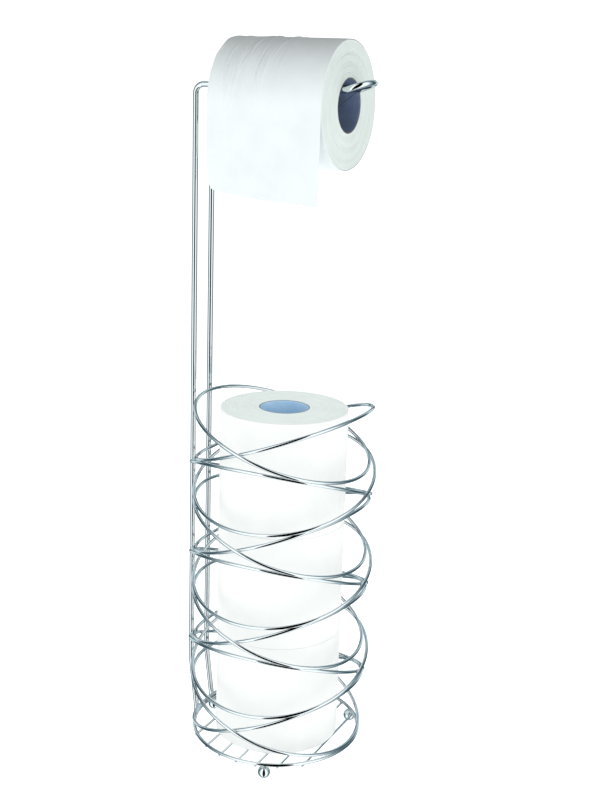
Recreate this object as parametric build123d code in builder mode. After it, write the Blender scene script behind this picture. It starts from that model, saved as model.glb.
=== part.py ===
"""Free-standing wire toilet roll holder with a cage for reserve rolls.

A stack of tilted wire rings, welded where they cross, stands on a base ring with ball feet.
A hairpin of thicker wire rises behind the cage and turns over it as an arm for the roll in use.

Units are millimetres. +Z is up and z = 0 is the floor under the feet. The cage's axis is x = y = 0.
+X is the way the arm points, so the two uprights stand at -X.
"""
from build123d import *
import os
from math import sin, cos, radians, sqrt

os.makedirs("parts", exist_ok=True)

# ---------------------------------------------------------------- driving dimensions
weld_bite = 0.3          # how far two welded wires sink into each other

foot_ball_diameter = 11.0
foot_flat_depth = 0.4    # the balls are ground flat underneath, so the stand doesn't rock
foot_count = 3
first_foot_angle = 50.0

ring_wire = 3.1
ring_mean_radius = 80.0
ring_tilt = 19.7         # each ring's slope from level, in degrees
pair_count = 7

bar_wire = 2.0
bar_count = 7
bar_pitch = 18.0
bar_overhang = 1.2       # how far a bar's ends stand out past the base ring's middle line

frame_wire = 4.9
leg_half_spacing = 13.75
arm_height = 584.0       # middle line of the arm above the floor
arm_corner_radius = 7.5
arm_reach = 70.5         # middle line of the arm's end, from the cage's axis
arm_lift_start = 53.0
arm_lift_angle = 19.0    # the arm's end is bent up to stop the roll sliding off
arm_lift_bend_radius = 12.0
leg_lean_height = 50.0   # the legs lean in to the base ring below this height above it
leg_lean_bend_radius = 30.0
leg_foot_bend_radius = 20.0

roll_width = 101.5
core_outer_radius = 22.0
core_wall = 0.8
reserve_radius = 56.0
hanging_radius = 51.0
reserve_count = 3
running_gap = 0.3        # between the core and the arm, and between the tail and the roll
tail_thickness = 0.6
tail_drop = 74.0         # the loose end's length below the roll's axis

# ---------------------------------------------------------------- sizes that follow from them
ring_rise = ring_mean_radius * sin(radians(ring_tilt))
ring_plan_radius = ring_mean_radius * cos(radians(ring_tilt))
weld_distance = ring_wire - weld_bite
side_shift = weld_distance / 2

# Neighbouring pairs meet above the four diagonals, where both rings' ovals have the same plan.
# The wires cross there at a slope, so their centres stand 0.9 of a weld distance apart in height.
diagonal_rise = ring_rise / sqrt(1 + cos(radians(ring_tilt)) ** 2)
pair_pitch = 2 * diagonal_rise + 0.9 * weld_distance

foot_radius = foot_ball_diameter / 2
foot_center_z = foot_radius - foot_flat_depth
base_ring_z = foot_center_z + foot_radius + ring_wire / 2 - weld_bite
bar_z = base_ring_z - (bar_wire + ring_wire) / 2 + weld_bite
lowest_pair_z = base_ring_z + weld_distance + ring_rise
bar_top_z = bar_z + bar_wire / 2

core_inner_radius = core_outer_radius - core_wall
core_hang_radius = core_inner_radius - frame_wire / 2 - running_gap
roll_axis_drop = sqrt(core_hang_radius ** 2 - leg_half_spacing ** 2)
roll_axis_z = arm_height - roll_axis_drop

outer_ring_x = side_shift + ring_mean_radius * sqrt(1 - (leg_half_spacing / ring_plan_radius) ** 2)
leg_x = -(outer_ring_x + (ring_wire + frame_wire) / 2 - weld_bite)
base_ring_x = sqrt(ring_plan_radius ** 2 - leg_half_spacing ** 2)
leg_foot_x = -(base_ring_x + (ring_wire + frame_wire) / 2 - weld_bite)


# ---------------------------------------------------------------- cage
def make_cage_ring(name, center, lean):
    """One ring of round wire about center. lean is the ring's turn about X, Y and Z, in degrees."""
    with BuildPart() as ring:
        with Locations(Location(center, lean)):
            Torus(ring_mean_radius, ring_wire / 2)
    ring.part.label = name
    export_step(ring.part, f"parts/{name}.step")


# Pairs are counted from the top. An odd pair's rings lean along X and an even pair's along Y.
# The two rings of a pair lean opposite ways and pass side by side where they cross.
for pair in range(pair_count):
    center_z = lowest_pair_z + (pair_count - 1 - pair) * pair_pitch
    for side, letter in ((1, "a"), (-1, "b")):
        if pair % 2 == 0:
            ring_center = (0, side * side_shift, center_z)
            ring_lean = (0, -side * ring_tilt, 0)
        else:
            ring_center = (-side * side_shift, 0, center_z)
            ring_lean = (-side * ring_tilt, 0, 0)
        make_cage_ring(f"cage_ring_{pair + 1}{letter}", ring_center, ring_lean)


# ---------------------------------------------------------------- base
with BuildPart() as base_ring:
    with Locations((0, 0, base_ring_z)):
        Torus(ring_plan_radius, ring_wire / 2)
base_ring.part.label = "base_ring"
export_step(base_ring.part, "parts/base_ring.step")


def make_base_bar(name, x):
    """One straight bar of the base grid, a chord under the base ring along Y with rounded ends."""
    half_length = sqrt((ring_plan_radius + bar_overhang) ** 2 - x ** 2)
    with BuildPart() as bar:
        with BuildSketch(Plane.XZ.offset(-half_length)):
            with Locations((x, bar_z)):
                Circle(bar_wire / 2)
        extrude(amount=2 * half_length)
        fillet(bar.edges().filter_by(GeomType.CIRCLE), radius=0.3 * bar_wire)
    bar.part.label = name
    export_step(bar.part, f"parts/{name}.step")


for index in range(bar_count):
    make_base_bar(f"base_bar_{index + 1}", (index - (bar_count - 1) / 2) * bar_pitch)


def make_ball_foot(name, angle):
    """A steel ball under the base ring, with a small flat ground on its underside."""
    x = ring_plan_radius * cos(radians(angle))
    y = ring_plan_radius * sin(radians(angle))
    with BuildPart() as foot:
        with Locations((x, y, foot_center_z)):
            Sphere(foot_radius)
        split(bisect_by=Plane.XY, keep=Keep.TOP)
    foot.part.label = name
    export_step(foot.part, f"parts/{name}.step")


for index in range(foot_count):
    make_ball_foot(f"ball_foot_{index + 1}", first_foot_angle + index * 360 / foot_count)


# ---------------------------------------------------------------- upright frame
# One hairpin of wire. Both legs lean in to the base ring at the bottom and turn over into the arm
# at the top, and the arm's two wires meet in a U-turn that is bent up.
lift_slope = sin(radians(arm_lift_angle)) / cos(radians(arm_lift_angle))
turn_x = arm_reach - leg_half_spacing * cos(radians(arm_lift_angle))
turn_z = arm_height + (turn_x - arm_lift_start) * lift_slope
tip_z = arm_height + (arm_reach - arm_lift_start) * lift_slope


def leg_points(side):
    """Corners of one leg and its arm wire, from the base ring to the start of the U-turn."""
    y = side * leg_half_spacing
    return [
        (leg_foot_x, y, bar_z),
        (leg_foot_x, y, base_ring_z + ring_wire),
        (leg_x, y, base_ring_z + leg_lean_height),
        (leg_x, y, arm_height),
        (arm_lift_start, y, arm_height),
        (turn_x, y, turn_z),
    ]


leg_radii = [leg_foot_bend_radius, leg_lean_bend_radius, arm_corner_radius, arm_lift_bend_radius]

with BuildPart() as upright_frame:
    with BuildLine() as frame_path:
        FilletPolyline(*leg_points(-1), radius=leg_radii)
        ThreePointArc(
            (turn_x, -leg_half_spacing, turn_z),
            (arm_reach, 0, tip_z),
            (turn_x, leg_half_spacing, turn_z),
        )
        FilletPolyline(*leg_points(1), radius=leg_radii)
    with BuildSketch(Plane.XY.offset(bar_z)):
        with Locations((leg_foot_x, -leg_half_spacing)):
            Circle(frame_wire / 2)
    sweep(path=frame_path.wires()[0])
    fillet(upright_frame.edges().group_by(Axis.Z)[0], radius=0.3 * frame_wire)
upright_frame.part.label = "upright_frame"
export_step(upright_frame.part, "parts/upright_frame.step")


# ---------------------------------------------------------------- rolls
def make_tube(name, base, outer_radius, inner_radius):
    """A roll's core or its wound paper: a tube one roll wide, standing on the plane base."""
    with BuildPart() as tube:
        with BuildSketch(base):
            Circle(outer_radius)
            Circle(inner_radius, mode=Mode.SUBTRACT)
        extrude(amount=roll_width)
    tube.part.label = name
    export_step(tube.part, f"parts/{name}.step")


def make_roll(name, base, paper_radius):
    """A whole roll: the card core and the paper wound on it."""
    make_tube(f"{name}_core", base, core_outer_radius, core_inner_radius)
    make_tube(f"{name}_paper", base, paper_radius, core_outer_radius)


# The spare rolls stand on the base grid, one on another, counted from the bottom.
for index in range(reserve_count):
    make_roll(f"reserve_{index + 1}", Plane.XY.offset(bar_top_z + index * roll_width), reserve_radius)

# The roll in use hangs with its core on the arm's two wires, over the cage's axis.
make_roll("hanging", Plane((-roll_width / 2, 0, roll_axis_z), z_dir=(1, 0, 0)), hanging_radius)

# Its loose end hangs straight down in front, just clear of the wound paper.
with BuildPart() as hanging_tail:
    with BuildSketch(Plane.XY.offset(roll_axis_z - tail_drop)):
        with Locations((0, -hanging_radius - running_gap - tail_thickness / 2)):
            Rectangle(roll_width, tail_thickness)
    extrude(amount=tail_drop)
hanging_tail.part.label = "hanging_tail"
export_step(hanging_tail.part, "parts/hanging_tail.step")
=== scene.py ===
import math

import bpy
import numpy as np
from mathutils import Matrix, Vector


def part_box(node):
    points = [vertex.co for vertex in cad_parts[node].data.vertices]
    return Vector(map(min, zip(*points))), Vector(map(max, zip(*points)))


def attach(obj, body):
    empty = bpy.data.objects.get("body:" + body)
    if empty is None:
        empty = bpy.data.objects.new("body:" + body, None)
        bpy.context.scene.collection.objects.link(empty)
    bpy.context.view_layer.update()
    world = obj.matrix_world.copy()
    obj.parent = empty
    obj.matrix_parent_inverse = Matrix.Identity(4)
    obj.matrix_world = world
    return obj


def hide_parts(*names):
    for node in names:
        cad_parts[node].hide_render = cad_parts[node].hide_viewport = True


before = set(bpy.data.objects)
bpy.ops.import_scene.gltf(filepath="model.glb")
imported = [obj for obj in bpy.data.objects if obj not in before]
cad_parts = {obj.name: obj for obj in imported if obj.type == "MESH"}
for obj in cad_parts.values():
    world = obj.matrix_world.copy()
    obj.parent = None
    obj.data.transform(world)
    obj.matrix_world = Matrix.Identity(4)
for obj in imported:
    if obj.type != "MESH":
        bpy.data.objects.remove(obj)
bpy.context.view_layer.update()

# ---------------------------------------------------------------- camera
# A fairly long lens about a metre off, as high as the roll in use and looking down on the cage. The arm
# points away to the right, and the camera is held very slightly out of level.
camera_from_axis = 1.069
camera_height = 0.610
camera_azimuth = math.radians(27.1)
camera_pitch = math.radians(15.1)
camera_pan = math.radians(0.8)
camera_roll = math.radians(1.77)
camera_lens_mm = 57.6

camera_data = bpy.data.cameras.new("camera")
camera_data.lens = camera_lens_mm
camera_data.clip_start = 0.05
camera = bpy.data.objects.new("camera", camera_data)
bpy.context.scene.collection.objects.link(camera)
heading = camera_azimuth - camera_pan
forward = Vector((
    -math.sin(heading) * math.cos(camera_pitch),
    math.cos(heading) * math.cos(camera_pitch),
    -math.sin(camera_pitch),
))
camera.location = (
    camera_from_axis * math.sin(camera_azimuth),
    -camera_from_axis * math.cos(camera_azimuth),
    camera_height,
)
camera.rotation_mode = "QUATERNION"
level_look = forward.to_track_quat("-Z", "Y")
camera.rotation_quaternion = Matrix.Rotation(-camera_roll, 3, forward).to_quaternion() @ level_look
bpy.context.scene.camera = camera

# ---------------------------------------------------------------- floor and light
# A light tent over a lit sheet of white acrylic: white all round, with a dark slit and grey cloth that give
# the bright wire its dark lines. It stands round the object and isn't part of it.


def linear(hex_colour):
    """An sRGB hex colour as linear RGBA, by the sRGB curve: c/12.92 up to 0.04045, else a 2.4 power."""
    channels = [int(hex_colour[i:i + 2], 16) / 255 for i in (1, 3, 5)]
    curved = [c / 12.92 if c <= 0.04045 else ((c + 0.055) / 1.055) ** 2.4 for c in channels]
    return (*curved, 1.0)


def add_node(tree, kind, settings=None, **inputs):
    """Adds one shader node. settings sets its properties, and inputs fills its sockets.

    A socket's name is written with underscores for spaces, or as in0, in1 for one that goes by number.
    A value that is itself a socket is linked, and any other value is set.
    """
    node = tree.nodes.new(kind)
    for key, value in (settings or {}).items():
        setattr(node, key, value)
    for key, value in inputs.items():
        by_number = key.startswith("in") and key[2:].isdigit()
        socket = node.inputs[int(key[2:])] if by_number else node.inputs[key.replace("_", " ")]
        if isinstance(value, bpy.types.NodeSocket):
            tree.links.new(value, socket)
        else:
            socket.default_value = value
    return node


def new_material(name):
    """A material with an empty node tree. Returns both."""
    material = bpy.data.materials.new(name)
    material.use_nodes = True
    material.node_tree.nodes.clear()
    return material, material.node_tree


def add_surface(name, points, faces, material, caps=(), closed=True):
    """A smooth mesh object from an array of points and an array of four-cornered faces.

    caps are further faces with many corners. On a closed surface, the sign of the volume that the faces
    hold says which way they turn, and all of them are reversed where that is inwards.
    """
    flat = np.asarray(points, float).reshape(-1, 3)
    first, second, third, fourth = (flat[faces[:, i]] for i in range(4))
    volume = np.sum(first * (np.cross(second, third) + np.cross(third, fourth)))
    turned = -1 if closed and volume < 0 else 1
    every_face = [face[::turned] for face in faces.tolist()] + [list(cap)[::turned] for cap in caps]
    mesh = bpy.data.meshes.new(name)
    mesh.from_pydata(flat.tolist(), [], every_face)
    mesh.polygons.foreach_set("use_smooth", np.full(len(mesh.polygons), True))
    mesh.materials.append(material)
    mesh.update()
    piece = bpy.data.objects.new(name, mesh)
    bpy.context.scene.collection.objects.link(piece)
    return piece


# White acrylic lit from below: an even, shadowless white.
floor_half_width = 1.1
floor_material, floor_tree = new_material("lit_white_acrylic_floor")
floor_glow = add_node(floor_tree, "ShaderNodeEmission", Color=linear("#ffffff"), Strength=0.60)
floor_skin = add_node(floor_tree, "ShaderNodeBsdfDiffuse", Color=linear("#f4f5f6"))
floor_both = add_node(floor_tree, "ShaderNodeAddShader", in0=floor_glow.outputs[0],
                      in1=floor_skin.outputs[0])
add_node(floor_tree, "ShaderNodeOutputMaterial", Surface=floor_both.outputs[0])
floor_corners = floor_half_width * np.array([[-1, -1, 0], [1, -1, 0], [1, 1, 0], [-1, 1, 0]])
floor = add_surface("floor", floor_corners, np.array([[0, 1, 2, 3]]), floor_material, closed=False)
floor.visible_glossy = False

# The tent's walls, by how far round they stand from the camera's side, as a share of half a turn: a dark
# slit that the camera looks through, bright walls either side of it, and grey cloth round the back.
# Only the wire's reflections see it: everything else has white all round, dimmer towards the roof.
tent_walls = [(0.00, "#000000"), (0.126, "#000000"), (0.142, "#ffffff"), (0.34, "#f4f8f9"),
              (0.46, "#8fa0a6"), (0.56, "#40525a"), (0.70, "#3a4c54"), (0.76, "#b9c8cd"),
              (0.85, "#c6d3d7"), (0.89, "#41555e"), (0.935, "#33454e"), (0.955, "#a5b6bd"),
              (0.975, "#b2c1c8"), (1.00, "#4b606a")]
tent_roof = "#3e4c55"
roof_starts, roof_full = 0.88, 0.98      # heights up the sky, as a share of straight up
tent_brightness = 1.35
white_at_horizon = 1.22
white_at_roof = 0.90

world = bpy.data.worlds.new("light_tent")
world.use_nodes = True
tent = world.node_tree
tent.nodes.clear()
direction = add_node(tent, "ShaderNodeTexCoord").outputs["Generated"]
facing_camera = add_node(tent, "ShaderNodeMapping", Vector=direction,
                         Rotation=(0, 0, math.radians(90) - camera_azimuth))
axes = add_node(tent, "ShaderNodeSeparateXYZ", Vector=facing_camera.outputs["Vector"])
around = add_node(tent, "ShaderNodeMath", {"operation": "ARCTAN2"}, in0=axes.outputs["Y"],
                  in1=axes.outputs["X"])
either_way = add_node(tent, "ShaderNodeMath", {"operation": "ABSOLUTE"}, in0=around.outputs[0])
share = add_node(tent, "ShaderNodeMath", {"operation": "DIVIDE"}, in0=either_way.outputs[0], in1=math.pi)
walls = add_node(tent, "ShaderNodeValToRGB", Fac=share.outputs[0])
for place, colour in tent_walls[1:-1]:
    walls.color_ramp.elements.new(place)
for stop, (place, colour) in zip(walls.color_ramp.elements, tent_walls):
    stop.position = place
    stop.color = linear(colour)
roof_share = add_node(tent, "ShaderNodeMapRange", {"interpolation_type": "SMOOTHSTEP"},
                      Value=axes.outputs["Z"], From_Min=roof_starts, From_Max=roof_full)
roofed = add_node(tent, "ShaderNodeMixRGB", Fac=roof_share.outputs["Result"],
                  Color1=walls.outputs["Color"], Color2=linear(tent_roof))
mirrored_tent = add_node(tent, "ShaderNodeBackground", Color=roofed.outputs["Color"],
                         Strength=tent_brightness)
upward = add_node(tent, "ShaderNodeMapRange", Value=axes.outputs["Z"], From_Min=0.0, From_Max=1.0,
                  To_Min=white_at_horizon, To_Max=white_at_roof)
soft_white = add_node(tent, "ShaderNodeBackground", Color=linear("#ffffff"),
                      Strength=upward.outputs["Result"])
in_wire = add_node(tent, "ShaderNodeLightPath").outputs["Is Glossy Ray"]
shown = add_node(tent, "ShaderNodeMixShader", Fac=in_wire, in1=soft_white.outputs[0],
                 in2=mirrored_tent.outputs[0])
add_node(tent, "ShaderNodeOutputWorld", Surface=shown.outputs[0])
bpy.context.scene.world = world
bpy.context.scene.view_settings.view_transform = "Standard"

# Two square soft boxes, one in front and to the right, and a weaker one low on the left.
soft_box_width = 0.8
soft_boxes = [("front_soft_box", (0.95, -0.95, 0.4), 0.3, 3.0),
              ("left_soft_box", (-1.0, -0.6, 0.15), 0.2, 2.2)]
for name, place, aimed_at_height, watts in soft_boxes:
    soft_box = bpy.data.lights.new(name, "AREA")
    soft_box.size = soft_box_width
    soft_box.energy = watts
    stand = bpy.data.objects.new(name, soft_box)
    stand.location = place
    stand.visible_glossy = False
    aim = Vector((0, 0, aimed_at_height)) - stand.location
    stand.rotation_euler = aim.to_track_quat("-Z", "Y").to_euler()
    bpy.context.scene.collection.objects.link(stand)

# A black flag over the roll in use keeps the roof's light off its upper side. Neither the camera nor the
# wire's reflections see it.
flag_left, flag_right, flag_near, flag_far, flag_height = -0.15, 0.17, -0.12, 0.20, 0.77
flag_material, flag_tree = new_material("black_flag_cloth")
flag_skin = add_node(flag_tree, "ShaderNodeBsdfDiffuse", Color=linear("#101010"))
add_node(flag_tree, "ShaderNodeOutputMaterial", Surface=flag_skin.outputs[0])
flag_corners = np.array([[flag_left, flag_near, flag_height], [flag_right, flag_near, flag_height],
                         [flag_right, flag_far, flag_height], [flag_left, flag_far, flag_height]])
flag = add_surface("flag_over_roll", flag_corners, np.array([[0, 1, 2, 3]]), flag_material, closed=False)
flag.visible_camera = False
flag.visible_glossy = False

# ---------------------------------------------------------------- upright frame
# One hairpin of drawn mild steel wire, bent cold and welded, then nickel and chromium plated. Both legs
# lean in to the base ring at the bottom, and the arm's two wires end in a U-turn that is bent up.
frame_wire_radius = 0.00245
frame_low, frame_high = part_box("upright_frame")
leg_half_spacing = frame_high.y - frame_wire_radius
leg_x = frame_low.x + frame_wire_radius
leg_foot_x = leg_x + 0.0060
leg_foot_bend_z = 0.01495
leg_lean_z = 0.06185
arm_z = 0.584
arm_lift_x = 0.053
arm_lift_angle = math.radians(19)
arm_end_x = 0.0705
bend_radii = [0.020, 0.030, 0.0075, 0.012]      # at the foot, the lean, the arm's corner and its lift
u_turn_points = 33


def chrome_plate(name, colour, smear_size_mm):
    """Bright chromium plate over nickel, on drawn wire.

    It gives the eye a cool white mirror that draws its surroundings out into lines along the wire. Noise
    dulls it in smears smear_size_mm across, and the drawn wire under it is very slightly wavy.
    """
    wire_waviness_mm = 6
    material, tree = new_material(name)
    place = add_node(tree, "ShaderNodeTexCoord").outputs["Object"]
    smears = add_node(tree, "ShaderNodeTexNoise", Vector=place, Scale=1000 / smear_size_mm, Detail=4.0)
    dulling = add_node(tree, "ShaderNodeMapRange", Value=smears.outputs["Fac"], From_Min=0.4, From_Max=0.8,
                       To_Min=0.02, To_Max=0.08)
    waviness = add_node(tree, "ShaderNodeTexNoise", Vector=place, Scale=1000 / wire_waviness_mm, Detail=1.0)
    bump = add_node(tree, "ShaderNodeBump", Height=waviness.outputs["Fac"], Strength=0.03, Distance=0.0001)
    shader = add_node(tree, "ShaderNodeBsdfPrincipled", Base_Color=linear(colour), Metallic=1.0,
                      Roughness=dulling.outputs["Result"], Normal=bump.outputs["Normal"])
    add_node(tree, "ShaderNodeOutputMaterial", Surface=shader.outputs[0])
    return material


def grid_faces(rows, columns, round_rows, round_columns):
    """Four-cornered faces of a grid of points, which may close on itself either way."""
    row, column = np.meshgrid(np.arange(rows if round_rows else rows - 1),
                              np.arange(columns if round_columns else columns - 1), indexing="ij")
    next_row, next_column = (row + 1) % rows, (column + 1) % columns
    corners = (row * columns + column, row * columns + next_column,
               next_row * columns + next_column, next_row * columns + column)
    return np.stack(corners, axis=-1).reshape(-1, 4)


def add_wire(name, path, up, radius, material, closed=False):
    """Round wire: a circle carried along path and held square to it.

    up is square to the path at each point, and the circle's other direction is the heading crossed with
    it. At an open wire's ends the circle shrinks by end_rounding of its radius over the same length, by a
    quarter circle's curve.
    """
    sides = 24
    end_rounding = 0.3
    path, up = np.asarray(path, float), np.asarray(up, float)
    reach = np.full(len(path), radius)
    if not closed:
        first, last = path[0] - path[1], path[-1] - path[-2]
        first, last = first / np.linalg.norm(first), last / np.linalg.norm(last)
        back = np.array([0.0, 0.1, 0.3, 0.6, 1.0])
        inset = end_rounding * radius * back[:, None]
        rounded = radius * (1 - end_rounding * (1 - np.sqrt(1 - (1 - back) ** 2)))
        path = np.concatenate([path[0] - first * inset, path[1:-1], (path[-1] - last * inset)[::-1]])
        up = np.concatenate([np.repeat(up[:1], len(back), axis=0), up[1:-1],
                             np.repeat(up[-1:], len(back), axis=0)])
        reach = np.concatenate([rounded, reach[1:-1], rounded[::-1]])
        heading = np.gradient(path, axis=0)
    else:
        heading = np.roll(path, -1, axis=0) - np.roll(path, 1, axis=0)
    heading = heading / np.linalg.norm(heading, axis=1)[:, None]
    side = np.cross(heading, up)
    turn = np.linspace(0, 2 * np.pi, sides, endpoint=False)[None, :, None]
    circle = np.cos(turn) * up[:, None] + np.sin(turn) * side[:, None]
    points = path[:, None] + reach[:, None, None] * circle
    end = (len(path) - 1) * sides
    caps = [] if closed else [range(sides - 1, -1, -1), range(end, end + sides)]
    return add_surface(name, points, grid_faces(len(path), sides, closed, True), material, caps)


def rounded_path(corners, radii, step):
    """Points along straight runs, about step apart, joined by tangent arcs with closer points.

    An arc starts radius times tan(half the bend) before its corner, and ends as far after it. At an angle
    round it, a point is radius times sin(angle) further along the run in, and radius times 1 - cos(angle)
    square to that run, towards the run out.
    """
    corners = [np.array(c, float) for c in corners]
    stretches, start = [], corners[0]
    for before, corner, after, radius in zip(corners, corners[1:], corners[2:], radii):
        into = (corner - before) / np.linalg.norm(corner - before)
        out = (after - corner) / np.linalg.norm(after - corner)
        bend = math.acos(np.clip(into @ out, -1, 1))
        cut = radius * math.tan(bend / 2)
        sideways = out - into * (into @ out)
        sideways = sideways / np.linalg.norm(sideways)
        begin = corner - into * cut
        run_count = max(2, int(np.linalg.norm(begin - start) / step))
        arc_count = max(6, int(radius * bend / (0.4 * step)))
        run = np.linspace(0, 1, run_count, endpoint=False)[:, None]
        angle = np.linspace(0, bend, arc_count, endpoint=False)[:, None]
        stretches.append(start + (begin - start) * run)
        stretches.append(begin + radius * (np.sin(angle) * into + (1 - np.cos(angle)) * sideways))
        start = corner + out * cut
    last_count = max(2, int(np.linalg.norm(corners[-1] - start) / step))
    run = np.linspace(0, 1, last_count, endpoint=False)[:, None]
    stretches.append(start + (corners[-1] - start) * run)
    return np.concatenate(stretches)


frame_chrome = chrome_plate("bright_chrome_on_frame_wire", "#dfe5e7", 18)
lift_direction = np.array([math.cos(arm_lift_angle), 0, math.sin(arm_lift_angle)])
turn_start_x = arm_end_x - leg_half_spacing * math.cos(arm_lift_angle)
turn_start_z = arm_z + (turn_start_x - arm_lift_x) * math.tan(arm_lift_angle)
leg = rounded_path(
    [(leg_foot_x, -leg_half_spacing, frame_low.z), (leg_foot_x, -leg_half_spacing, leg_foot_bend_z),
     (leg_x, -leg_half_spacing, leg_lean_z), (leg_x, -leg_half_spacing, arm_z),
     (arm_lift_x, -leg_half_spacing, arm_z), (turn_start_x, -leg_half_spacing, turn_start_z)],
    bend_radii, step=0.004)
half_turn = np.linspace(-np.pi / 2, np.pi / 2, u_turn_points)[:, None]
u_turn = (np.array([turn_start_x, 0, turn_start_z]) + leg_half_spacing * np.cos(half_turn) * lift_direction
          + leg_half_spacing * np.sin(half_turn) * np.array([0, 1, 0]))
leg_heading = np.gradient(leg, axis=0)
leg_heading = leg_heading / np.linalg.norm(leg_heading, axis=1)[:, None]
leg_up = np.cross(leg_heading, [0, 1, 0])
mirrored = np.array([1, -1, 1])
hairpin = np.concatenate([leg, u_turn, (leg * mirrored)[::-1]])
turn_up = np.repeat(np.cross(lift_direction, [0, 1, 0])[None], u_turn_points, axis=0)
hairpin_up = np.concatenate([leg_up, turn_up, leg_up[::-1]])
upright = add_wire("upright_hairpin", hairpin, hairpin_up, frame_wire_radius, frame_chrome)
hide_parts("upright_frame")
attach(upright, "stand")

# ---------------------------------------------------------------- cage rings
# Fourteen alike rings of thinner wire, butt welded and tilted, in seven crossed pairs. The pairs lean
# along the arm and across it in turn, and are resistance welded wherever two wires touch.
ring_wire_radius = 0.00155
ring_radius = 0.080
ring_tilt = math.radians(19.7)
pair_count = 7

cage_chrome = chrome_plate("bright_chrome_on_cage_wire", "#dfe5e7", 12)


def ring_path(centre, radius, slope_x=0.0, slope_y=0.0, count=288):
    """A circle about centre, and at each point the direction that is square to the circle's plane.

    Its two radii point along X and Y, climbing at slope_x and slope_y. At most one of them isn't zero.
    """
    turn = np.linspace(0, 2 * np.pi, count, endpoint=False)[:, None]
    along = np.array([math.cos(slope_x), 0, math.sin(slope_x)])
    across = np.array([0, math.cos(slope_y), math.sin(slope_y)])
    path = np.array(centre) + radius * (np.cos(turn) * along + np.sin(turn) * across)
    return path, np.repeat(np.cross(along, across)[None], count, axis=0)


pair_heights = []
for pair in range(1, pair_count + 1):
    for letter, side in (("a", 1), ("b", -1)):
        node = f"cage_ring_{pair}{letter}"
        low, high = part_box(node)
        lean_x = side * ring_tilt if pair % 2 else 0.0
        lean_y = 0.0 if pair % 2 else -side * ring_tilt
        path, up = ring_path((low + high) / 2, ring_radius, lean_x, lean_y)
        ring = add_wire(f"cage_hoop_{pair}{letter}", path, up, ring_wire_radius, cage_chrome, closed=True)
        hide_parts(node)
        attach(ring, "stand")
    pair_heights.append((low.z + high.z) / 2)

# ---------------------------------------------------------------- base ring, bars and feet
# A level ring of the cage's wire, with seven thin bars welded across its underside for the spare rolls
# to stand on, and three steel balls welded on as feet and ground flat underneath.
base_low, base_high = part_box("base_ring")
base_radius = base_high.x - ring_wire_radius
base_z = (base_low.z + base_high.z) / 2
base_path, base_up = ring_path((0, 0, base_z), base_radius)
base_hoop = add_wire("base_hoop", base_path, base_up, ring_wire_radius, cage_chrome, closed=True)
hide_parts("base_ring")
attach(base_hoop, "stand")

bar_count = 7
bar_points = 40
bar_places = []
for index in range(1, bar_count + 1):
    low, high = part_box(f"base_bar_{index}")
    middle = (low + high) / 2
    bar_places.append((middle.x, middle.z))
    line = np.linspace(low.y, high.y, bar_points)
    path = np.stack([0 * line + middle.x, line, 0 * line + middle.z], axis=-1)
    up = np.tile([0.0, 0.0, 1.0], (bar_points, 1))
    bar = add_wire(f"grid_bar_{index}", path, up, (high.x - low.x) / 2, cage_chrome)
    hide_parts(f"base_bar_{index}")
    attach(bar, "stand")

# Each ball is a sphere by latitude and longitude, cut off at its ground flat and closed near the top.
foot_count = 3
ball_radius = 0.0055
ball_rows, ball_columns = 36, 56
foot_places = []
for index in range(1, foot_count + 1):
    low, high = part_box(f"ball_foot_{index}")
    centre = Vector(((low.x + high.x) / 2, (low.y + high.y) / 2, high.z - ball_radius))
    foot_places.append(centre)
    flat_angle = -math.asin((centre.z - low.z) / ball_radius)
    lift = np.linspace(flat_angle, math.radians(87), ball_rows)[:, None]
    turn = np.linspace(0, 2 * np.pi, ball_columns, endpoint=False)[None, :]
    shell = np.stack([centre.x + ball_radius * np.cos(lift) * np.cos(turn),
                      centre.y + ball_radius * np.cos(lift) * np.sin(turn),
                      centre.z + ball_radius * np.sin(lift) + 0 * turn], axis=-1)
    last_row = (ball_rows - 1) * ball_columns
    caps = [range(ball_columns - 1, -1, -1), range(last_row, last_row + ball_columns)]
    ball = add_surface(f"foot_ball_{index}", shell, grid_faces(ball_rows, ball_columns, False, True),
                       cage_chrome, caps)
    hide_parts(f"ball_foot_{index}")
    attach(ball, "stand")

# ---------------------------------------------------------------- weld nuggets
# Where two wires are resistance welded, the squeezed steel leaves a small collar round the touching point,
# which is plated with the rest. Each is a bead between the two wires, and a little smaller than they are.
nugget_radius = 0.0013
bar_bead_drop = 0.0003
spots = []

# A pair's two rings touch at their centre's height, at either end of the line that both lean about.
for index, height in enumerate(pair_heights):
    if index % 2 == 0:
        spots += [(0, side * ring_radius, height) for side in (1, -1)]
    else:
        spots += [(side * ring_radius, 0, height) for side in (1, -1)]

# Neighbouring pairs meet over the diagonals, this far out along X and along Y.
ring_across = math.cos(ring_tilt)
diagonal = ring_radius * (ring_across / math.sqrt(1 + ring_across ** 2))
for upper, lower in zip(pair_heights, pair_heights[1:]):
    spots += [(x * diagonal, y * diagonal, (upper + lower) / 2) for x in (-1, 1) for y in (-1, 1)]

# Both legs are welded to the pairs that lean across the arm, and to the base ring.
for height in pair_heights[1::2]:
    drop = leg_half_spacing * math.tan(ring_tilt)
    spots += [(leg_x + frame_wire_radius, side * leg_half_spacing, height - side * drop)
              for side in (-1, 1)]

# The bars and the feet are welded under the base ring.
for bar_x, bar_z in bar_places:
    reach = math.sqrt(base_radius ** 2 - bar_x ** 2)
    spots += [(bar_x, side * reach, (base_z + bar_z) / 2 - bar_bead_drop) for side in (-1, 1)]
spots += [(foot.x, foot.y, base_z - ring_wire_radius) for foot in foot_places]
spots += [(leg_foot_x + frame_wire_radius, side * leg_half_spacing, base_z) for side in (-1, 1)]

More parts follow.
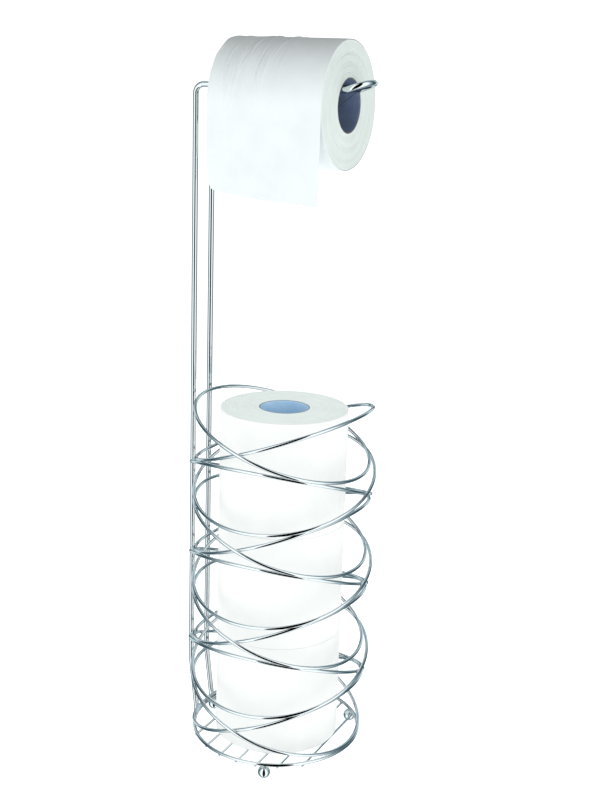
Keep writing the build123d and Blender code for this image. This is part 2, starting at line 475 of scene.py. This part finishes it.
# A bead is a small sphere by latitude and longitude, and their sizes differ by up to 15%.
bead_rows, bead_columns = 7, 12
bead_points = bead_rows * bead_columns
lift = np.linspace(-80, 80, bead_rows)[:, None] * math.pi / 180
turn = np.linspace(0, 2 * np.pi, bead_columns, endpoint=False)[None, :]
bead = nugget_radius * np.stack([np.cos(lift) * np.cos(turn), np.cos(lift) * np.sin(turn),
                                 np.sin(lift) + 0 * turn], axis=-1)
sizes = np.random.default_rng(5).uniform(0.85, 1.15, len(spots))
beads = np.array(spots)[:, None, None, :] + sizes[:, None, None, None] * bead[None]
bead_starts = bead_points * np.arange(len(spots))
bead_faces = grid_faces(bead_rows, bead_columns, False, True)
all_faces = (bead_faces[None] + bead_starts[:, None, None]).reshape(-1, 4)
bead_caps = [range(start + bead_columns - 1, start - 1, -1) for start in bead_starts.tolist()]
bead_caps += [range(start + bead_points - bead_columns, start + bead_points)
              for start in bead_starts.tolist()]
nuggets = add_surface("weld_nuggets", beads, all_faces, cage_chrome, bead_caps)
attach(nuggets, "stand")

# ---------------------------------------------------------------- roll cores
# A toilet roll's core is two plies of grey board wound in a helix and glued, the inner one dyed blue. It is
# cut to length with the paper on it, so its ends show raw, brownish board.
core_wall = 0.0008
core_helix_pitch = 0.180
core_lap = 0.00030
core_end_round = 0.0002


def core_board(name, colour, dark_colour, fibre_mm):
    """Recycled grey board, rolled and unglazed.

    It gives the eye a dull, dry surface. Short fibres mottle it between colour and dark_colour, in flecks
    fibre_mm long, and blotches twelve times as large make it uneven.
    """
    material, tree = new_material(name)
    place = add_node(tree, "ShaderNodeTexCoord").outputs["Object"]
    flecks = add_node(tree, "ShaderNodeTexNoise", Vector=place, Scale=1000 / fibre_mm, Detail=5.0,
                      Roughness=0.7)
    blotches = add_node(tree, "ShaderNodeTexNoise", Vector=place, Scale=1000 / (12 * fibre_mm),
                        Detail=2.0)
    both = add_node(tree, "ShaderNodeMath", {"operation": "MULTIPLY"}, in0=flecks.outputs["Fac"],
                    in1=blotches.outputs["Fac"])
    amount = add_node(tree, "ShaderNodeMapRange", Value=both.outputs[0], From_Min=0.12, From_Max=0.4)
    tone = add_node(tree, "ShaderNodeMixRGB", Fac=amount.outputs["Result"], Color1=linear(dark_colour),
                    Color2=linear(colour))
    bump = add_node(tree, "ShaderNodeBump", Height=flecks.outputs["Fac"], Strength=0.35, Distance=0.0002)
    shader = add_node(tree, "ShaderNodeBsdfPrincipled", Base_Color=tone.outputs["Color"], Roughness=0.85,
                      Normal=bump.outputs["Normal"])
    add_node(tree, "ShaderNodeOutputMaterial", Surface=shader.outputs[0])
    return material


# The liner is one blue board in a shaded and a lit copy. The hanging roll's is painted a darker blue than
# the spare rolls', as painted shade inside its bore, and the spare rolls' is painted lighter, as painted
# light on their upward openings. Where the ply's edge lies, glue has soaked in and darkened a thin line.
shaded_core_liner = core_board("slate_blue_core_board", "#6d7d99", "#566682", 1.2)
lit_core_liner = core_board("light_blue_core_board", "#c2e2f8", "#aad0ee", 1.2)
core_raw_edge = core_board("raw_core_board", "#857a6e", "#62584e", 0.8)
core_seam = core_board("glued_core_seam", "#4a5570", "#39435c", 0.8)


def standing(along, radius, angle, end):
    """Points round a vertical axis, along up from end."""
    return np.stack([end[0] + radius * np.cos(angle), end[1] + radius * np.sin(angle), end[2] + along],
                    axis=-1)


def lying(along, radius, angle, end):
    """Points round an axis that points along +X, along it from end. Angle 90 degrees is the top."""
    return np.stack([end[0] + along, end[1] + radius * np.cos(angle), end[2] + radius * np.sin(angle)],
                    axis=-1)


def add_core(name, node, place, end, length, outer_radius, liner, seam_angle):
    """A card tube: a closed profile (inner wall, end, outer wall, end) turned about its axis.

    The grid is sheared along the helix, so one column of points follows the ply's edge. The wall is
    core_lap thicker just behind that edge, and thins out again over a quarter turn. seam_angle is where
    the edge meets the far end. Both ends are chamfered by core_end_round along the tube and a fifth of the
    wall across it.
    """
    columns, steps = 160, 48
    wall_along = np.linspace(core_end_round, length - core_end_round, steps)
    along = np.concatenate([wall_along, [length, length], wall_along[::-1], [0, 0]])[:, None]
    outer = np.concatenate([np.zeros(steps), [0.2, 0.8], np.ones(steps), [0.8, 0.2]])[:, None]
    turn = np.linspace(0, 2 * np.pi, columns, endpoint=False)[None, :]
    angle = turn + seam_angle - 2 * np.pi * (length - along) / core_helix_pitch
    lap = core_lap * np.exp(-4 * turn)
    radius = outer_radius - core_wall * (1 - outer) - lap * (1 - outer)
    points = place(along + 0 * angle, radius, angle, end)
    piece = add_surface(name, points, grid_faces(len(along), columns, True, True), liner)
    piece.data.materials.append(core_raw_edge)
    row = np.arange(len(along) * columns) // columns
    at_end = ((row >= steps - 1) & (row <= steps + 1)) | (row >= 2 * steps + 1)
    on_seam = (np.arange(len(along) * columns) % columns == columns - 1) & (row < steps - 1)
    piece.data.materials.append(core_seam)
    which = at_end.astype(np.int32) + 2 * on_seam.astype(np.int32)
    piece.data.polygons.foreach_set("material_index", which)
    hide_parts(node)
    return piece


# ---------------------------------------------------------------- wound paper
# Two-ply creped tissue wound on the core and cut to width with it. The ends show the turns as faint rings,
# some proud and some sunk, and the outer sheet's edge is a low step.
paper_corner = 0.0006
turn_spacing = 0.0016        # about ten times the real spacing, which is too fine to show
ripple_depth = 0.00035
hollow_depth = 0.0005


def tissue(name, colour, shade_colour, crepe_mm, rib_axis):
    """Bleached tissue paper, creped off a dryer.

    It gives the eye a soft, matt, slightly cloudy white. Ribs crepe_mm apart run along rib_axis, drawn
    coarser than the real ones of about 0.3 mm, which are too fine to show, with fine fuzz over them.
    """
    cloud_mm = 22
    fuzz_mm = 0.7
    squeeze_along_rib = 0.12
    material, tree = new_material(name)
    place = add_node(tree, "ShaderNodeTexCoord").outputs["Object"]
    stretch = [1.0, 1.0, 1.0]
    stretch[rib_axis] = squeeze_along_rib
    squeezed = add_node(tree, "ShaderNodeMapping", Vector=place, Scale=stretch)
    crepe = add_node(tree, "ShaderNodeTexNoise", Vector=squeezed.outputs["Vector"], Scale=1000 / crepe_mm,
                     Detail=3.0, Roughness=0.6)
    clouds = add_node(tree, "ShaderNodeTexNoise", Vector=place, Scale=1000 / cloud_mm, Detail=3.0)
    pores = add_node(tree, "ShaderNodeTexNoise", Vector=place, Scale=1000 / fuzz_mm, Detail=2.0)
    tone = add_node(tree, "ShaderNodeMixRGB", Fac=clouds.outputs["Fac"], Color1=linear(shade_colour),
                    Color2=linear(colour))
    ribs = add_node(tree, "ShaderNodeBump", Height=crepe.outputs["Fac"], Strength=0.4, Distance=0.0004)
    fuzz = add_node(tree, "ShaderNodeBump", Height=pores.outputs["Fac"], Strength=0.15, Distance=0.0002,
                    Normal=ribs.outputs["Normal"])
    shader = add_node(tree, "ShaderNodeBsdfPrincipled", Base_Color=tone.outputs["Color"], Roughness=0.95,
                      Specular_IOR_Level=0.2, Sheen_Weight=0.1, Sheen_Roughness=0.6,
                      Normal=fuzz.outputs["Normal"])
    add_node(tree, "ShaderNodeOutputMaterial", Surface=shader.outputs[0])
    return material


# One tissue, in lit and shaded copies: the hanging roll's side and its outer sheet are painted darker and
# greener than the spare rolls' sides, as painted shade.
standing_tissue = tissue("creped_tissue_on_spare_rolls", "#e8eae9", "#dfe2e0", 0.9, 2)
shaded_lying_tissue = tissue("creped_tissue_on_hanging_roll_painted_shaded", "#dae0e1", "#ced6d7", 2.2, 2)
# The cut ends are painted copies too. The hanging roll's ends are darker than its side, as painted shade,
# and the spare rolls' ends, which face up and down, are a little lighter than their sides, as painted light.
lit_standing_cut_ends = tissue("cut_edges_of_spare_rolls", "#ecf5f2", "#e1ebe7", 1.6, 2)
shaded_lying_cut_ends = tissue("cut_edges_of_hanging_roll_painted_shaded", "#cdd6d3", "#c0cac6", 1.6, 0)


def waves(angle, along, seed, count=7):
    """A smooth uneven field from -1 to 1: count sine waves of seeded pitch, tilt and phase, averaged."""
    random = np.random.default_rng(seed)
    lobes = random.integers(1, 6, count)
    tilt = random.uniform(-60, 60, count)
    phase = random.uniform(0, 2 * np.pi, count)
    return np.mean([np.sin(n * angle + t * along + p) for n, t, p in zip(lobes, tilt, phase)], axis=0)


def add_paper(name, node, place, end, length, inner_radius, outer_radius, materials, seed, dent):
    """The wound paper: a closed profile (left end, corner, side, corner, right end, bore) about the axis.

    The ends are sunk by spiral ripples, turn_spacing apart and up to ripple_depth deep, and by rings of
    hollows up to hollow_depth deep, which wander round the roll. The side has dents up to dent deep, and
    shrinks by nine tenths of that in one turn, to the sheet's edge.
    """
    columns, end_steps, side_steps, corner_steps, bore_steps = 208, 84, 36, 4, 8
    face = np.linspace(inner_radius, outer_radius - paper_corner, end_steps)
    bend = np.linspace(0, np.pi / 2, corner_steps + 2)[1:-1]
    side = np.linspace(paper_corner, length - paper_corner, side_steps)
    bore = np.linspace(length, 0, bore_steps + 2)[1:-1]
    along = np.concatenate([0 * face, paper_corner * (1 - np.cos(bend)), side,
                            length - paper_corner * (1 - np.sin(bend)), 0 * face + length, bore])
    radius = np.concatenate([face, outer_radius - paper_corner * (1 - np.sin(bend)),
                             0 * side + outer_radius, outer_radius - paper_corner * (1 - np.cos(bend)),
                             face[::-1], 0 * bore + inner_radius])
    along, radius = along[:, None], radius[:, None]
    turn = np.linspace(0, 2 * np.pi, columns, endpoint=False)[None, :]
    spiral = 0.5 + 0.5 * np.sin(2 * np.pi * radius / turn_spacing - turn)
    wander = 0.5 + 0.5 * waves(turn, 25 * radius, seed)
    proud = 0.5 + 0.5 * np.sin(2 * np.pi * radius / (5.3 * turn_spacing) + 3 * wander)
    off_bore = np.clip((radius - inner_radius) / 0.002, 0, 1)
    off_side = np.clip((outer_radius - radius) / 0.003, 0, 1)
    sunk = off_bore * off_side * (ripple_depth * spiral * (0.4 + 0.6 * proud)
                                  + hollow_depth * wander * proud)
    sunk = sunk * np.where(along <= 0, 1, 0) - sunk * np.where(along >= length, 1, 0)
    outwards = np.clip((radius - 0.8 * outer_radius) / (0.2 * outer_radius), 0, 1)
    dents = outwards * (0.9 * dent * turn / (2 * np.pi)
                        + dent * (0.5 + 0.5 * waves(turn, along, seed + 1)))
    points = place(along + sunk, radius - dents, turn + 0 * radius, end)
    piece = add_surface(name, points, grid_faces(len(along), columns, True, True), materials[0])
    piece.data.materials.append(materials[1])
    row = np.arange(len(along) * columns) // columns
    right_end = end_steps + side_steps + 2 * corner_steps
    cut = (row < end_steps - 1) | ((row >= right_end) & (row < right_end + end_steps - 1))
    piece.data.polygons.foreach_set("material_index", cut.astype(np.int32))
    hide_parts(node)
    return piece


# ---------------------------------------------------------------- spare rolls
# Three rolls of tissue on card cores stand on the base bars, one on another, inside the cage. Nothing
# fixes them, and the top one can be lifted out.
for index, body in ((1, "stand"), (2, "stand"), (3, "top_spare_roll")):
    core_low, core_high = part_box(f"reserve_{index}_core")
    paper_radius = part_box(f"reserve_{index}_paper")[1].x
    foot = (0, 0, core_low.z)
    length = core_high.z - core_low.z
    core = add_core(f"spare_core_{index}", f"reserve_{index}_core", standing, foot, length, core_high.x,
                    lit_core_liner, 0.5 + index)
    paper = add_paper(f"spare_paper_{index}", f"reserve_{index}_paper", standing, foot, length, core_high.x,
                      paper_radius, (standing_tissue, lit_standing_cut_ends), 20 + index, 0.0004)
    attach(core, body)
    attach(paper, body)

# ---------------------------------------------------------------- roll in use
# One more roll of tissue on a card core. It hangs with its core on the arm's two wires and turns freely on
# them, and the arm's raised end keeps it from sliding off.
core_low, core_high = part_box("hanging_core")
paper_low, paper_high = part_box("hanging_paper")
roll_end = (core_low.x, 0, (core_low.z + core_high.z) / 2)
roll_length = core_high.x - core_low.x
core_radius = (core_high.z - core_low.z) / 2
roll_radius = (paper_high.z - paper_low.z) / 2
core = add_core("hanging_roll_core", "hanging_core", lying, roll_end, roll_length, core_radius, shaded_core_liner,
                math.radians(35))
paper = add_paper("hanging_roll_paper", "hanging_paper", lying, roll_end, roll_length, core_radius,
                  roll_radius, (shaded_lying_tissue, shaded_lying_cut_ends), 31, 0.00008)
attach(core, "hanging_roll")
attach(paper, "hanging_roll")

# ---------------------------------------------------------------- outer sheet
# The outermost turn of two-ply tissue and the loose end that hangs from it in front, torn off along a
# perforation. It is creased aslant where it was pulled, and hangs still while the roll turns inside it.
sheet_gap = 0.00004
sheet_thickness = 0.00022
tail_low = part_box("hanging_tail")[0]
tail_drop = roll_end[2] - tail_low.z
wrap_turn = 2 * math.pi - 0.10       # it starts 0.10 rad round from where it leaves the roll
wrap_length = roll_radius * wrap_turn


def creases(across, arc):
    """Pulled creases, 0 to 1.3 high: narrow ridges that run round the roll, a little aslant.

    Each is a bell curve across its line, times a wider one along it that sets where it starts and stops.
    The line leans by slope and bows by a sine. across is the distance from the roll's left end, and arc the
    distance round it from the top.
    """
    random = np.random.default_rng(12)
    field = 0 * across
    left_starts, middle_starts = np.linspace(0.004, 0.030, 8), np.linspace(0.026, 0.062, 13)
    for start in np.concatenate([left_starts, middle_starts]):
        slope = random.uniform(-0.14, 0.02)
        width = random.uniform(0.0005, 0.0009)
        bow = 0.0010 * np.sin(arc * random.uniform(40, 80) + 900 * start)
        line = across - start - random.uniform(-0.002, 0.002) - slope * arc - bow
        middle, reach = random.uniform(0.012, 0.055), random.uniform(0.020, 0.035)
        span = np.exp(-((arc - middle) / reach) ** 2)
        field = field + random.uniform(0.35, 1.0) * span * np.exp(-(line / width) ** 2)
    return np.clip(field, 0, 1.3)


columns, wrap_rows, hang_rows = 190, 176, 74
crease_height = 0.0013
perforation_pitch = 0.004
perforation_depth = 0.0003
across = np.linspace(0, roll_length, columns)[None, :]

# Rows round the roll: wrap is the distance from the sheet's hidden start, with rows set closer towards the
# front. The sheet stands off the paper by a small gap, its thickness, a slow swell and the creases.
even = np.linspace(0, 1, wrap_rows, endpoint=False)[:, None]
wrap = wrap_length * (0.45 * even + 0.55 * (1 - (1 - even) ** 2))
wrap_angle = math.pi - (wrap_length - wrap) / roll_radius
top_arc = roll_radius * (wrap_angle - math.pi / 2)
swell = 0.00020 * (0.5 + 0.5 * waves(wrap_angle, across, 40))
edge_dip = 0.00015 * (np.exp(-across / 0.0012) + np.exp(-(roll_length - across) / 0.0012))
wrap_lift = sheet_gap + sheet_thickness + swell - edge_dip + crease_height * creases(across, top_arc)
wrapped = lying(across + 0 * wrap, roll_radius + wrap_lift, wrap_angle + 0 * across, roll_end)

# Rows down the loose end: fall goes from 0 at the roll to 1 at the tear, which is scalloped by the
# perforation. The foot slants and ripples, and its left corner curls up, back and in.
foot_slant = 0.08
curl_width, curl_up, curl_back, curl_in = 0.007, 0.0025, 0.0035, 0.0026
fall = np.linspace(0, 1, hang_rows)[:, None]
scallops = perforation_depth * np.abs(np.sin(np.pi * across / perforation_pitch))
tear = scallops + 0.0005 * np.sin(across * 70 + 1)
curl = np.exp(-across / curl_width) * fall ** 4
longer = 1 + foot_slant * (across / roll_length - 0.5)
drop = tail_drop * longer * fall - (tear + curl_up * curl) * fall ** 8
hang_arc = roll_radius * math.pi / 2 + drop
ripple = 0.0007 * fall * np.sin(across * 75 + 2.2) + 0.0020 * fall ** 2 * (across / roll_length) ** 2
hang_lift = (wrap_lift[-1:] * (1 - fall) + fall * 0.0004 + ripple - curl_back * curl
             + crease_height * (creases(across, hang_arc) - (1 - fall) * creases(across, hang_arc[:1])))
narrowing = curl_in * curl
hanging = np.stack([roll_end[0] + across + narrowing, -(roll_radius + hang_lift),
                    roll_end[2] - drop + 0 * across], axis=-1)
sheet_points = np.concatenate([wrapped, hanging])
sheet_faces = grid_faces(wrap_rows + hang_rows, columns, False, False)
# The sheet takes the hanging roll's tissue, painted darker as painted shade.
outer_sheet = add_surface("outer_sheet", sheet_points, sheet_faces, shaded_lying_tissue, closed=False)
thickness = outer_sheet.modifiers.new("two_ply_thickness", "SOLIDIFY")
thickness.thickness = sheet_thickness
thickness.offset = -1
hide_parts("hanging_tail")
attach(outer_sheet, "tail")
